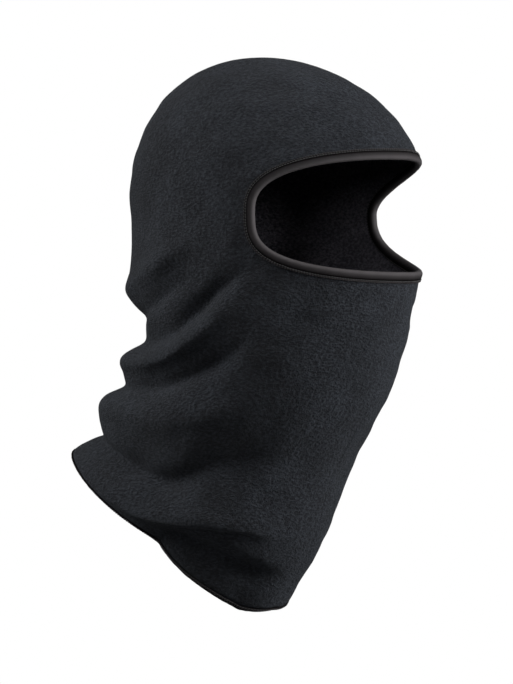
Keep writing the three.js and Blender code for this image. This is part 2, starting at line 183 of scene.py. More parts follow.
def smoothstep(x, low, high):
    t = np.clip((x - low) / (high - low), 0, 1)
    return t * t * (3 - 2 * t)


def unit(v):
    return v / np.maximum(np.linalg.norm(v, axis=-1, keepdims=True), 1e-12)


def wander(points, wavelength, seed):
    """Smooth irregular field of about unit height: a sum of plane waves in fixed scattered directions."""
    rng = np.random.default_rng(seed)
    total = np.zeros(points.shape[:-1])
    for _ in range(14):
        direction = rng.normal(size=3)
        direction /= np.linalg.norm(direction)
        length = wavelength * rng.uniform(0.8, 1.4)
        total += np.cos(points @ direction * (2 * math.pi / length) + rng.uniform(0, 2 * math.pi))
    return total / math.sqrt(14)


def smooth_hood(u, v):
    """The hood before any fold, laid out on a flat disc: crown at the centre, hem at radius 1, front
    toward -v and the wearer's right toward +u."""
    along = np.hypot(u, v)
    angle = np.arctan2(u, -v)
    level = np.maximum(along, STATIONS[0, 0])
    section = [spline(STATIONS[:, 0], STATIONS[:, k], level) for k in range(1, 6)]
    front_y, front_z, back_y, back_z, half = section
    dome = np.minimum(along / STATIONS[0, 0], 1) * math.pi / 2
    spread = np.sin(dome)
    rise = np.cos(dome)
    mid_y = (front_y + back_y) / 2 * (1 - rise * rise)
    mid_z = (front_z + back_z) / 2 + (CROWN_Z - STATIONS[0, 2]) * rise
    neck = np.clip((along - NECK["from"]) / NECK["length"], 0, 1)
    x = -half * spread * np.sin(angle)
    y = mid_y - (back_y - front_y) / 2 * spread * np.cos(angle)
    turned = np.degrees(angle)
    dip = line_at(HEM_DIP, turned) * smoothstep(turned, 0, HEM_DIP_START) * neck ** HEM_DIP_POWER
    arch = HEM_ARCH * (np.sin(angle) * neck) ** 2
    z = mid_z - (back_z - front_z) / 2 * spread * np.cos(angle) + arch - dip
    return np.stack([x, y, z], -1)


def normal_of(surface, u, v):
    du = surface(u + STEP, v) - surface(u - STEP, v)
    dv = surface(u, v + STEP) - surface(u, v - STEP)
    return unit(np.cross(dv, du))


def grown(starts, u, angle):
    """How far a fold with these starts on the right and on the left has grown at this angle."""
    start = np.where(u >= 0, starts[0], starts[1])
    return smoothstep(angle, start - FOLD_FADE, start + FOLD_FADE)


def fold_offsets(u, v, stretch):
    """Height of the folds off the smooth hood, and how far they hang down the cloth. They grow lower
    and straighter where the firm hem begins. `stretch` is the length of cloth per unit of the disc."""
    radius = np.hypot(u, v)
    past = np.maximum(radius - HEM_BAND["from"], 0)
    along = np.minimum(radius, HEM_BAND["from"]) + HEM_BAND["reach"] * np.tanh(past / HEM_BAND["reach"])
    angle = np.degrees(np.abs(np.arctan2(u, -v)))
    kept = 1 - (1 - HEM_BAND["kept"]) * smoothstep(radius, HEM_BAND["from"], 1)
    height = np.zeros_like(radius)
    hang = np.zeros_like(radius)
    for tall, width, sag, starts, line in FOLDS:
        off = (along - line_at(line, angle)) * stretch / width
        profile = np.exp(-off * off) if tall > 0 else np.exp(CREASE - np.hypot(off, CREASE))
        one = kept * grown(starts, u, angle) * tall * profile
        height += one
        hang += sag * one
    under = (radius - line_at(LOWEST_VALLEY, angle)) * stretch / TUCK["width"]
    height -= TUCK["depth"] * grown(TUCK["starts"], u, angle) * smoothstep(under, -1, 1)
    return height, hang


def hood(u, v):
    """The outer face of the fleece, with its folds and its hem rolled a little inward. The folds hang
    down the lines from the crown; the roll runs square to the hem."""
    point = smooth_hood(u, v)
    radius = np.maximum(np.hypot(u, v), 1e-9)
    down = (smooth_hood(u + STEP * u / radius, v + STEP * v / radius) - point) / STEP
    height, hang = fold_offsets(u, v, np.linalg.norm(down, axis=-1))
    normal = normal_of(smooth_hood, u, v)
    level = smooth_hood(u - STEP * v, v + STEP * u) - point
    square = unit(np.cross(level, normal))
    toward_hem = (square * down).sum(-1, keepdims=True)
    square = square * np.sign(toward_hem)
    from_hem = (1 - radius) * np.abs(toward_hem[..., 0])
    rolled = np.maximum(HEM_ROLL["length"] - from_hem, 0)
    turned = rolled / HEM_ROLL["radius"]
    height = height - HEM_ROLL["radius"] * (1 - np.cos(turned))
    back = rolled - HEM_ROLL["radius"] * np.sin(turned)
    return point + height[..., None] * normal - back[..., None] * square + hang[..., None] * unit(down)


def rim(turn):
    """Edge of the face opening on the disc; turn runs from 0 at the chin to 1 at the brow on the right
    side, and on to 2 at the chin again on the left side."""
    across = np.sin(math.pi * turn)
    up = np.cos(math.pi * turn)
    left = across < 0
    upper = np.where(left, RIM_SQUARE["upper"][1], RIM_SQUARE["upper"][0])
    lower = np.where(left, RIM_SQUARE["lower"][1], RIM_SQUARE["lower"][0])
    square = np.where(up > 0, lower, upper)
    tall = np.where(up > 0, RIM["lower"], RIM["upper"]) - RIM["middle"]
    level = RIM["middle"] + tall * np.abs(up) ** (2 / square)
    reach = np.radians(np.where(left, RIM["reach"][1], RIM["reach"][0]))
    angle = reach * np.sign(across) * np.abs(across) ** (2 / square)
    return level * np.sin(angle), -level * np.cos(angle)


def hem(turn):
    """Edge of the neck on the disc, with the same turns as the rim."""
    angle = math.pi * turn + math.radians(HEM_SHIFT) * np.sin(math.pi * turn)
    return np.sin(angle), -np.cos(angle)


def square_off(edge, turn):
    """Step on the disc that leaves an edge squarely, one millimetre long on the smooth hood."""
    u, v = edge(turn)
    tangent = smooth_hood(*edge(turn + STEP)) - smooth_hood(*edge(turn - STEP))
    along_u = (smooth_hood(u + STEP, v) - smooth_hood(u - STEP, v)) / (2 * STEP)
    along_v = (smooth_hood(u, v + STEP) - smooth_hood(u, v - STEP)) / (2 * STEP)
    du = (along_v * tangent).sum(-1)
    dv = -(along_u * tangent).sum(-1)
    length = np.linalg.norm(along_u * du[..., None] + along_v * dv[..., None], axis=-1)
    return du / length, dv / length


def disc(turn, share):
    """Point of the disc on the line from the rim (share 0) to the hem (share 1), square to both edges."""
    turn, share = np.broadcast_arrays(np.asarray(turn, float), np.asarray(share, float))
    ends = rim(turn), hem(turn)
    off = square_off(rim, turn), square_off(hem, turn)
    s2 = share * share
    s3 = s2 * share
    return tuple(
        (2 * s3 - 3 * s2 + 1) * ends[0][k]
        + (s3 - 2 * s2 + share) * EASE * off[0][k]
        + (3 * s2 - 2 * s3) * ends[1][k]
        + (s3 - s2) * EASE * off[1][k]
        for k in (0, 1)
    )


def share_at(turn, distance, from_hem):
    """Share along each line at which the smooth hood is `distance` millimetres from the rim or the hem."""
    turn = np.asarray(turn, float)
    edge = 1.0 if from_hem else 0.0
    sign = -1.0 if from_hem else 1.0
    origin = smooth_hood(*disc(turn, edge))
    amount = np.full(turn.shape, 0.01)
    for _ in range(8):
        reached = np.linalg.norm(smooth_hood(*disc(turn, edge + sign * amount)) - origin, axis=-1)
        amount = amount * distance / reached
    return edge + sign * amount


def cloth_point(turn, share, depth):
    """Point `depth` millimetres outside the fleece's outer face (negative is inside)."""
    u, v = disc(turn, share)
    return hood(u, v) + np.asarray(depth)[..., None] * normal_of(hood, u, v)


def binding_point(turn, distance, depth, from_hem):
    """Point of a binding: `distance` from its fold line and `depth` off the fleece's outer face.
    Distances short of the fold continue straight off the edge of the cloth."""
    near = max(distance, 0.5)
    depth = np.broadcast_to(np.asarray(depth, float), turn.shape)
    point = cloth_point(turn, share_at(turn, near, from_hem), depth)
    if near == distance:
        return point
    further = cloth_point(turn, share_at(turn, near + 1, from_hem), depth)
    return point + (further - point) * (distance - near)


# ---- meshes ----
def link(name, points, faces, materials, slots=None, sharp=50):
    """Smooth-shaded mesh object from points in millimetres."""
    mesh = bpy.data.meshes.new(name)
    mesh.from_pydata((np.asarray(points) * MM).tolist(), [], [tuple(f) for f in np.asarray(faces).tolist()])
    for material in materials:
        mesh.materials.append(material)
    if slots is not None:
        mesh.polygons.foreach_set("material_index", np.asarray(slots, np.int32))
    mesh.polygons.foreach_set("use_smooth", np.ones(len(mesh.polygons), bool))
    mesh.update()
    mesh.set_sharp_from_angle(angle=math.radians(sharp))
    mesh.validate()
    obj = bpy.data.objects.new(name, mesh)
    bpy.context.scene.collection.objects.link(obj)
    return obj


def outward(points, faces):
    """The faces, turned round if they look inward."""
    p = np.asarray(points)[np.asarray(faces)]
    volume = (p[:, 0] * np.cross(p[:, 1], p[:, 2])).sum() + (p[:, 0] * np.cross(p[:, 2], p[:, 3])).sum()
    return faces if volume > 0 else np.asarray(faces)[:, ::-1]


def tube(rings, loop):
    """Points and four-sided faces of a body swept through rings. Unless it is a loop its ends are closed
    too, save for one small triangle where a ring has an odd number of points."""
    count, size = rings.shape[:2]
    i, k = np.meshgrid(np.arange(count if loop else count - 1), np.arange(size), indexing="ij")
    after = (i + 1) % count
    beside = (k + 1) % size
    corners = [i * size + k, after * size + k, after * size + beside, i * size + beside]
    faces = np.stack(corners, -1).reshape(-1, 4)
    if not loop:
        caps = []
        for base in (0, (count - 1) * size):
            for k in range(1, size // 2):
                cap = [base + k - 1, base + k, base + size - 1 - k, base + (size - k) % size]
                caps.append(cap if base else cap[::-1])
        faces = np.concatenate([faces, np.array(caps)])
    return rings.reshape(-1, 3), faces


def two_layers(shape):
    """Faces of a closed sheet made of two grids of points: its first layer, its edges and its second."""
    ids = np.arange(2 * shape[0] * shape[1]).reshape(2, *shape)
    one, two = ids
    first = np.stack([one[:-1, :-1], one[1:, :-1], one[1:, 1:], one[:-1, 1:]], -1).reshape(-1, 4)
    second = np.stack([two[:-1, :-1], two[:-1, 1:], two[1:, 1:], two[1:, :-1]], -1).reshape(-1, 4)
    border = np.concatenate([ids[:, :, 0], ids[:, -1, 1:], ids[:, -2::-1, -1], ids[:, 0, -2:0:-1]], 1)
    after = np.roll(border, -1, 1)
    edges = np.stack([border[0], border[1], after[1], after[0]], -1)
    return first, edges, second


def gather(parts):
    """Several bodies as one list of points and faces."""
    points, faces, start = [], [], 0
    for p, f in parts:
        points.append(p)
        faces.append(outward(p, f) + start)
        start += len(p)
    return np.concatenate(points), np.concatenate(faces)


def pucker_height(u, v):
    """Height of the small puckers and creases."""
    place = np.hypot(u, v)
    angle = np.degrees(np.arctan2(u, -v))
    height = np.zeros_like(place)
    for at, level, long, wide, tilt, tall in PUCKERS:
        a = (angle - at) * DEGREE_MM
        b = (place - level) * PLACE_MM
        c, s = math.cos(math.radians(tilt)), math.sin(math.radians(tilt))
        height += tall * np.exp(-(((a * c + b * s) / long) ** 2) - ((b * c - a * s) / wide) ** 2)
    return height


def lie_of_cloth(turn, share, points):
    """Small height of the cloth over its drawn shape: unevenness and puckers that die out toward the
    bindings and the middle seams, and gathers along the face opening's binding."""
    u, v = disc(turn, share)
    from_rim = np.linalg.norm(points - points[:, :1], axis=-1)
    from_hem = np.linalg.norm(points - points[:, -1:], axis=-1)
    grows = UNEVEN_GROWS["binding"]
    from_seam = np.abs(points[..., 0])
    free = smoothstep(from_rim, *grows) * smoothstep(from_hem, *grows)
    free = free * smoothstep(from_seam, *UNEVEN_GROWS["seam"])
    height = sum(tall * wander(points, wave, seed) for wave, tall, seed in UNEVEN)
    height = (height + pucker_height(u, v)) * free
    steps = np.linalg.norm(np.diff(points[:, 0], axis=0), axis=-1)
    along_rim = np.concatenate([[0], np.cumsum(steps)])[:, None]
    wave = np.sin(along_rim * (2 * math.pi / RIM_GATHER["wave"]) + 1.5 * wander(points, 60, 21))
    near_rim = smoothstep(from_rim, *RIM_GATHER["grows"]) * np.exp(-((from_rim / RIM_GATHER["reach"]) ** 2))
    return height + RIM_GATHER["height"] * near_rim * wave


def seam_dip(points):
    """How far the cloth turns in toward the middle seam, with small puckers along it."""
    near = np.exp(-((points[..., 0] / SEAM_DIP["width"]) ** 2))
    run = np.linalg.norm(np.diff(points[:1], axis=1), axis=-1)
    along = np.concatenate([[0], np.cumsum(run[0])])
    wave = np.sin(along * (2 * math.pi / SEAM_DIP["pitch"]))
    wide = np.exp(-((points[..., 0] / (4 * SEAM_DIP["width"])) ** 2))
    return SEAM_DIP["depth"] * near + SEAM_DIP["pucker"] * wide * wave[None, :]


def panel_columns():
    """Turns from the chin line to the crown line, closer together beside each seam."""
    fine = np.array([0.0, 0.0025, 0.005, 0.008, 0.012])
    even = np.linspace(0.018, 0.982, COLUMNS)
    return np.concatenate([fine, even, 1 - fine[::-1]])


def row_shares(turn):
    """Rows of each column: one at each cut edge, the rest evenly spaced from just past one binding to
    just past the other."""
    rim_side = [share_at(turn, d, False) for d in (RAW_EDGE, BINDING_WIDTH + 0.5)]
    hem_side = [share_at(turn, d, True) for d in (BINDING_WIDTH + 0.5, RAW_EDGE)]
    parts = np.arange(1, ROWS)[None, :] / ROWS
    between = rim_side[1][:, None] + (hem_side[0] - rim_side[1])[:, None] * parts
    return np.concatenate([np.stack(rim_side, 1), between, np.stack(hem_side, 1)], 1)


def panel(name, side, outside, inside):
    """One side panel: its brushed outer and inner faces, joined round all four edges."""
    turn = panel_columns()
    if side > 0:
        turn = 2 - turn
    shares = row_shares(turn)
    turns = np.broadcast_to(turn[:, None], shares.shape)
    u, v = disc(turns, shares)
    base = hood(u, v)
    normal = normal_of(hood, u, v)
    lift = lie_of_cloth(turns, shares, base)
    dip = seam_dip(base)
    outer = base + (lift - dip)[..., None] * normal
    inner = base + (lift - 0.5 * dip - FLEECE)[..., None] * normal
    layers = np.stack([outer, inner])
    layers[..., 0] = side * np.maximum(side * layers[..., 0], MIDDLE_GAP)
    outer_faces, edge_faces, inner_faces = two_layers(shares.shape)
    faces = np.concatenate([outer_faces, edge_faces, inner_faces])
    slots = np.concatenate([np.zeros(len(outer_faces) + len(edge_faces)), np.ones(len(inner_faces))])
    points = layers.reshape(-1, 3)
    return link(name, points, outward(points, faces), [outside, inside], slots, sharp=60)


def binding_section():
    """Cross-section of a tape folded over the cut edge, as rows of distance from the fold and depth:
    the outer leg, the roll, the inner leg, and back inside."""
    outside = GAP
    inside = -FLEECE - GAP
    centre = (outside + inside) / 2
    bore = (outside - inside) / 2
    shell = bore + TAPE
    start = shell - TAPE / 2
    bulge = 0.35

    def arc(radius, steps, swell=0.0):
        turns = [math.pi * (i + 1) / (steps + 1) for i in range(steps)]
        reach = radius + swell
        return [(start - reach * math.sin(a), centre + reach * math.cos(a)) for a in turns]

    face = outside + TAPE
    edge = BINDING_WIDTH
    outer_leg = [(edge, outside + 0.1), (edge - 0.08, face - 0.12), (edge - 0.4, face + 0.15)]
    outer_leg += [(edge - 0.85, face)]
    outer_leg += [(edge - STITCH_INSET, face - 0.4), (edge - 1.85, face - 0.05), (edge - 2.4, face + 0.12)]
    outer_leg += [(3.1, face + 0.2), (start, face + bulge)]
    inner_leg = [(start, inside - TAPE - bulge), (3.4, inside - TAPE - 0.1), (INNER_LEG - 1.6, inside - TAPE)]
    inner_leg += [(INNER_LEG - 0.25, inside - TAPE), (INNER_LEG, inside - TAPE + 0.25), (INNER_LEG, inside)]
    hollow = [(start, inside), *reversed(arc(bore, 5)), (start, outside)]
    return outer_leg + arc(shell, 9, bulge) + inner_leg + hollow


def around(points):
    """Distance round a closed loop at each of its points, and once more at its end."""
    steps = np.linalg.norm(np.roll(points, -1, 0) - points, axis=-1)
    return np.concatenate([[0], np.cumsum(steps)])


def binding(name, from_hem, join, material):
    """A tape folded over the whole rim or hem. Its ends meet at `join` in a small dip, with a raised
    stretch to either side where the tape is turned under."""
    turn = 2 * np.arange(RINGS) / RINGS
    middle = binding_point(turn, BINDING_WIDTH / 2, 0, from_hem)
    along = around(middle)
    apart = np.abs((turn - join + 1) % 2 - 1) * along[-1] / 2
    dip = 0.35 * np.exp(-((apart / 0.9) ** 2))
    raised = 0.3 * smoothstep(apart, 4.2, 3.4) * smoothstep(apart, 0, 1.5)
    uneven = 0.06 * wander(middle, 9, 31) + 0.05 * wander(middle, 4, 32)
    shift = uneven - (dip - raised)
    rings = []
    for distance, depth in binding_section():
        rings.append(binding_point(turn, distance, depth + np.sign(depth + FLEECE / 2) * shift, from_hem))
    rings = np.stack(rings, 1)
    points, faces = tube(rings, True)
    obj = link(name, points, outward(points, faces), [material], sharp=50)
    tape_coordinates(obj, along, rings.shape[1])
    return obj


def tape_coordinates(obj, along, size):
    """UV map: millimetres round the loop, and the number of the point in the cross-section."""
    count = len(along) - 1
    layer = obj.data.uv_layers.new(name="tape")
    loops = np.zeros(len(obj.data.loops), np.int32)
    obj.data.loops.foreach_get("vertex_index", loops)
    ring, place = loops // size, loops % size
    first = ring.reshape(-1, 4).max(1) - ring.reshape(-1, 4).min(1) > count // 2
    wrapped = np.repeat(first, 4) & (ring == 0)
    u = np.where(wrapped, along[count], along[ring])
    uv = np.stack([u, place.astype(float)], 1)
    layer.data.foreach_set("uv", uv.astype(np.float32).ravel())


def strand(start, end, up, radius, sink, rings=7, sides=6):
    """A short length of thread from start to end, arched along `up`, its ends sunk into the cloth."""
    axis = end - start
    side = unit(np.cross(axis, up))
    steps = np.linspace(0, 1, rings)
    turns = 2 * math.pi * np.arange(sides) / sides
    made = []
    for s in steps:
        bow = math.sin(math.pi * s) ** 0.6 if 0 < s < 1 else 0.0
        thick = radius * (0.35 + 0.65 * bow)
        centre = start + axis * s + up * (radius * 0.8 - sink * (1 - bow))
        made.append([centre + thick * (math.cos(t) * side + math.sin(t) * up) for t in turns])
    return tube(np.array(made), False)


def loop_frames(distance, depth, from_hem, pitch):
    """Evenly spaced points round a loop, with the next point's direction and the outward normal."""
    turn = np.linspace(0, 2, 1200, endpoint=False)
    path = binding_point(turn, distance, depth, from_hem)
    along = around(path)
    count = round(along[-1] / pitch)
    places = np.arange(count) * along[-1] / count
    at = np.interp(places, along, np.append(turn, 2.0))
    share = share_at(at, distance, from_hem)
    points = cloth_point(at, share, np.full(count, depth))
    normal = normal_of(hood, *disc(at, share))
    ahead = unit(np.roll(points, -1, 0) - points)
    return points, ahead, normal


def topstitching(name, from_hem, material):
    """Lockstitches round a binding: the top row outside and its bobbin row on the inner leg."""
    distance = BINDING_WIDTH - STITCH_INSET
    rows = [(GAP + TAPE - 0.2, 1.0), (-FLEECE - GAP - TAPE, -1.0)]
    parts = []
    for depth, way in rows:
        points, ahead, normal = loop_frames(distance, depth, from_hem, STITCH_PITCH)
        for p, a, n in zip(points, ahead, normal):
            half = a * STITCH_LENGTH / 2
            parts.append(strand(p - half, p + half, n * way, THREAD_RADIUS, 0.3))
    points, faces = gather(parts)
    return link(name, points, faces, [material], sharp=80)


def middle_frame(turn, shares):
    """Points of the fleece's inner face, moved onto the middle plane, the outward normals of the
    unfolded cloth there, and directions along the plane."""
    turns = np.full(len(shares), float(turn))
    points = cloth_point(turns, shares, np.full(len(shares), -FLEECE))
    normal = normal_of(smooth_hood, *disc(turns, shares))
    points[:, 0] = 0
    normal[:, 0] = 0
    normal = unit(normal)
    ahead = unit(np.gradient(points, axis=0))
    return points, normal, ahead


def seam_lines(turn):
    """Shares along a middle line, from the opening's binding to the hem's roll, and the run to each."""
    at = np.array([float(turn)])
    start = share_at(at, BINDING_WIDTH + 0.8, False)[0]
    end = share_at(at, HEM_ROLL["length"] + 1, True)[0]
    shares = np.linspace(start, end, 900)
    points = middle_frame(turn, shares)[0]
    run = np.concatenate([[0], np.cumsum(np.linalg.norm(np.diff(points, axis=0), axis=1))])
    return shares, run


def seam_lean(points, turn):
    """How far the tip of a standing seam leans to one side, in millimetres."""
    return 0.5 * wander(points, 55, 41 + int(turn))


def seam(name, turn, material):
    """The two turned-in edges of the panels, overlocked together and standing inward from the cloth."""
    shares, run = seam_lines(turn)
    count = round(run[-1] / (OVERLOCK_PITCH / 3))
    places = np.linspace(0, run[-1], count)
    at = np.interp(places, run, shares)
    points, normal, _ = middle_frame(turn, at)
    squeeze = 0.12 * np.cos(places * (2 * math.pi / OVERLOCK_PITCH))
    lean = seam_lean(points, turn)
    half = SEAM_WIDTH / 2
    top, tip = -0.6, SEAM_HEIGHT
    outline = [(-half, top), (-half - 0.1, (top + tip) / 2), (-half + 0.15, tip - 0.5), (-half + 0.6, tip)]
    outline += [(0, tip - 0.35)] + [(-x, d) for x, d in reversed(outline)]
    rings = []
    for x, depth in outline:
        share = (depth - top) / (tip - top)
        across = x * (1 - squeeze * share) + lean * share
        drop = normal * -(depth - squeeze[:, None] * share)
        rings.append(points + drop + np.outer(across, (1, 0, 0)))
    made, faces = tube(np.stack(rings, 1), False)
    return link(name, made, outward(made, faces), [material], sharp=50)


def overlock(name, turn, material):
    """Thread loops wrapped over the seam's edge: on each face a slanted strand and one along the seam,
    and a strand over the edge."""
    shares, run = seam_lines(turn)
    count = int(run[-1] // OVERLOCK_PITCH)
    places = (np.arange(count) + 0.5) * OVERLOCK_PITCH
    at = np.interp(places, run, shares)
    points, normal, ahead = middle_frame(turn, at)
    lean = seam_lean(points, turn)
    half = SEAM_WIDTH / 2 + 0.05
    low, high = 1.2, SEAM_HEIGHT + 0.1
    sideways = np.array([1.0, 0, 0])
    parts = []
    for p, n, a, tilt in zip(points, normal, ahead, lean):
        tips = []
        for way in (-1, 1):
            root = p - n * low + sideways * (way * half + tilt * 0.4)
            tip = p - n * high + sideways * (way * (half - 0.45) + tilt) + a * way * OVERLOCK_PITCH * 0.25
            tips.append(tip)
            further = root + a * OVERLOCK_PITCH * 0.85
            parts.append(strand(root, tip, sideways * way, FINE_THREAD, 0.1, rings=5, sides=5))
            parts.append(strand(root, further, sideways * way, FINE_THREAD, 0.15, rings=5, sides=5))
        parts.append(strand(tips[0], tips[1], -n, FINE_THREAD, 0.1, rings=5, sides=5))
    points, faces = gather(parts)
    return link(name, points, faces, [material], sharp=80)


def bar_tack(name, turn, from_hem, material):
    """Close zigzag stitching across the join of a binding: inside at the chin, outside at the hem."""
    at = np.array([float(turn)])
    way = 1 if from_hem else -1
    depth = GAP + TAPE if from_hem else -FLEECE - GAP - TAPE
    ends = [binding_point(at, d, depth, from_hem)[0] for d in TACK["hem" if from_hem else "chin"]]
    normal = way * normal_of(hood, *disc(at, share_at(at, 4.0, from_hem)))[0]
    step = np.array([TACK["width"] / (TACK["strands"] - 1), 0, 0])
    parts = []
    for i in range(TACK["strands"]):
        first, second = ends if i % 2 else ends[::-1]
        across = step * (i - (TACK["strands"] - 1) / 2)
        parts.append(strand(first + across, second + across + step * 0.8, normal, FINE_THREAD, 0.15))
    points, faces = gather(parts)
    return link(name, points, faces, [material], sharp=80)


def label(name, material):
    """A blank woven label sewn across the back seam, its lower end hanging free and a little curled."""
    rows, columns = LABEL_GRID
    start = abs(float(rim(np.array([1.0]))[1][0]))
    places = np.linspace(LABEL["from"], LABEL["to"], rows)
    shares = (places + start) / (1 + start)
    points, normal, _ = middle_frame(1, shares)
    across = np.linspace(-1, 1, columns)[None, :]
    down = np.linspace(0, 1, rows)[:, None]
    curl = LABEL["curl"] * down ** 2 * np.abs(across) ** 2 + LABEL["ripple"] * np.sin(5 * across) * down
    narrowed = 1 - 0.3 * np.maximum(down - 0.9, 0)
    x = across * narrowed * LABEL["width"] / 2
    top = SEAM_HEIGHT + 1.0
    layers = []
    for depth in (top, top + LABEL["thickness"]):
        offset = (depth - curl)[..., None] * -normal[:, None, :]
        layers.append(points[:, None, :] + offset + x[..., None] * np.array([1.0, 0, 0]))
    made = np.stack(layers).reshape(-1, 3)
    front, edges, back = two_layers(LABEL_GRID)
    return link(name, made, outward(made, np.concatenate([front, back, edges])), [material], sharp=50)


# ---- materials ----
# Each material varies between its dark and its light base colour.
OUTSIDE = {"dark": (0.0022, 0.0026, 0.0035), "light": (0.0120, 0.0141, 0.0178), "sheen": (0.55, 0.62, 0.75)}
INSIDE = {"dark": (0.0150, 0.0141, 0.0177), "light": (0.0560, 0.0530, 0.0630), "sheen": (0.62, 0.6, 0.72)}
SHEEN_WEIGHT = 0.03
# The tape's light base colour is a painted highlight, laid on its roll and on its lip.
TAPE_COLOURS = (0.0024, 0.0021, 0.0022), (0.034, 0.0316, 0.0328)
THREAD_COLOURS = (0.0008, 0.0008, 0.0009), (0.003, 0.003, 0.0032)
LABEL_COLOURS = (0.5, 0.5, 0.48), (0.62, 0.62, 0.6)
FLOOR_COLOURS = (0.16, 0.16, 0.16), (0.19, 0.19, 0.19)
# Points of the tape's cross-section between which the painted highlight on its roll fades in and out, and
# those of the painted highlight on its lip.
TAPE_ROLL_HIGHLIGHT = {"in": (6.0, 10.5), "out": (16, 19)}
TAPE_LIP_HIGHLIGHT = {"at": 1.8, "out": (0.4, 1.2)}


class Shader:
    """A small helper that adds and joins the nodes of one material."""

    def __init__(self, name):
        self.material = bpy.data.materials.new(name)
        self.material.use_nodes = True
        self.tree = self.material.node_tree
        self.tree.nodes.clear()
        self.out = self.add("ShaderNodeOutputMaterial")
        self.main = self.add("ShaderNodeBsdfPrincipled")
        self.join(self.main.outputs[0], self.out.inputs[0])

    def add(self, kind, **values):
        node = self.tree.nodes.new(kind)
        for key, value in values.items():
            setattr(node, key, value)
        return node

    def join(self, output, socket):
        self.tree.links.new(output, socket)

    def place(self, stretch=(1, 1, 1), source="Object"):
        where = self.add("ShaderNodeTexCoord")
        turned = self.add("ShaderNodeMapping")
        turned.inputs["Scale"].default_value = stretch
        self.join(where.outputs[source], turned.inputs["Vector"])
        return turned.outputs["Vector"]

    def noise(self, vector, scale, detail=2.0, roughness=0.5):
        node = self.add("ShaderNodeTexNoise")
        node.inputs["Scale"].default_value = scale
        node.inputs["Detail"].default_value = detail
        node.inputs["Roughness"].default_value = roughness
        self.join(vector, node.inputs["Vector"])
        return node.outputs["Fac"]

    def math(self, operation, a, b=0.0):
        node = self.add("ShaderNodeMath", operation=operation)
        for socket, value in zip(node.inputs, (a, b)):
            if isinstance(value, (int, float)):
                socket.default_value = value
            else:
                self.join(value, socket)
        return node.outputs[0]

    def spread(self, value, low, high, to_low, to_high):
        node = self.add("ShaderNodeMapRange")
        for socket, number in zip(list(node.inputs)[1:5], (low, high, to_low, to_high)):
            socket.default_value = number
        self.join(value, node.inputs[0])
        return node.outputs[0]

    def colour(self, share, dark, light):
        node = self.add("ShaderNodeMix", data_type="RGBA")
        self.join(share, node.inputs["Factor"])
        node.inputs["A"].default_value = (*dark, 1)
        node.inputs["B"].default_value = (*light, 1)
        self.join(node.outputs["Result"], self.main.inputs["Base Color"])

    def roughness(self, value, low, high, to_low, to_high):
        self.join(self.spread(value, low, high, to_low, to_high), self.main.inputs["Roughness"])

    def bump(self, height, distance, strength=1.0):
        node = self.add("ShaderNodeBump")
        node.inputs["Strength"].default_value = strength
        node.inputs["Distance"].default_value = distance
        self.join(height, node.inputs["Height"])
        self.join(node.outputs["Normal"], self.main.inputs["Normal"])


def fleece_material(name, look):
    """Brushed fleece: short pebbly pile in small level ripples, with loose fibre tips that catch light."""
    s = Shader(name)
    where = s.place((1.0, 1.0, 1.7))
    pebble = s.noise(where, 430, 2.0, 0.55)
    curl = s.noise(where, 1100, 3.0, 0.6)
    patch = s.noise(s.place(), 38, 3.0, 0.5)
    fibre = s.noise(s.place(), 4200, 2.0, 0.7)
    height = s.math("ADD", pebble, s.math("MULTIPLY", curl, 0.5))
    height = s.math("ADD", height, s.math("MULTIPLY", fibre, 0.18))
    shade = s.math("ADD", s.math("MULTIPLY", height, 0.75), s.math("MULTIPLY", patch, 0.35))
    s.colour(s.spread(shade, 0.72, 1.02, 0, 1), look["dark"], look["light"])
    s.roughness(height, 0.6, 1.1, 1.0, 0.82)
    s.main.inputs["Specular IOR Level"].default_value = 0.12
    s.main.inputs["Sheen Weight"].default_value = SHEEN_WEIGHT
    s.main.inputs["Sheen Roughness"].default_value = 0.55
    s.main.inputs["Sheen Tint"].default_value = (*look["sheen"], 1)
    s.bump(height, 0.0024, 1.0)
    return s.material


def tape_material():
    """Fold-over tape: fine ribs across it, with a painted highlight on its roll and, between stitches, on its
    lip.
    """
    s = Shader("tape")
    where = s.place((1, 1, 1), "UV")
    parted = s.add("ShaderNodeSeparateXYZ")
    s.join(where, parted.inputs[0])
    rib = s.math("SINE", s.math("MULTIPLY", parted.outputs["X"], 2 * math.pi / 0.55))
    grain = s.noise(s.place(), 2600, 2.0, 0.6)
    worn = s.noise(s.place(), 160, 3.0, 0.5)
    height = s.math("ADD", s.math("MULTIPLY", rib, 0.25), grain)
    point = parted.outputs["Y"]
    # Painted highlight: the roll and the lip take the light base colour, the lip's highlight broken at each
    # stitch and faintly mottled.
    onto_roll_highlight = s.spread(point, *TAPE_ROLL_HIGHLIGHT["in"], 0, 1)
    off_roll_highlight = s.spread(point, *TAPE_ROLL_HIGHLIGHT["out"], 1, 0)
    roll = s.math("MULTIPLY", onto_roll_highlight, off_roll_highlight)
    off_lip = s.math("ABSOLUTE", s.math("SUBTRACT", point, TAPE_LIP_HIGHLIGHT["at"]))
    lip_highlight = s.spread(off_lip, *TAPE_LIP_HIGHLIGHT["out"], 1.0, 0)
    pull = s.math("SINE", s.math("MULTIPLY", parted.outputs["X"], 2 * math.pi / STITCH_PITCH))
    lip_highlight = s.math("MULTIPLY", lip_highlight, s.spread(pull, -0.3, 0.5, 0.2, 1.0))
    shade = s.math("MULTIPLY", s.math("MAXIMUM", roll, lip_highlight), s.spread(worn, 0.3, 0.7, 0.85, 1.0))
    s.colour(shade, *TAPE_COLOURS)
    s.roughness(worn, 0.3, 0.7, 0.45, 0.6)
    s.main.inputs["Specular IOR Level"].default_value = 0.015
    s.bump(height, 0.00018, 0.7)
    return s.material


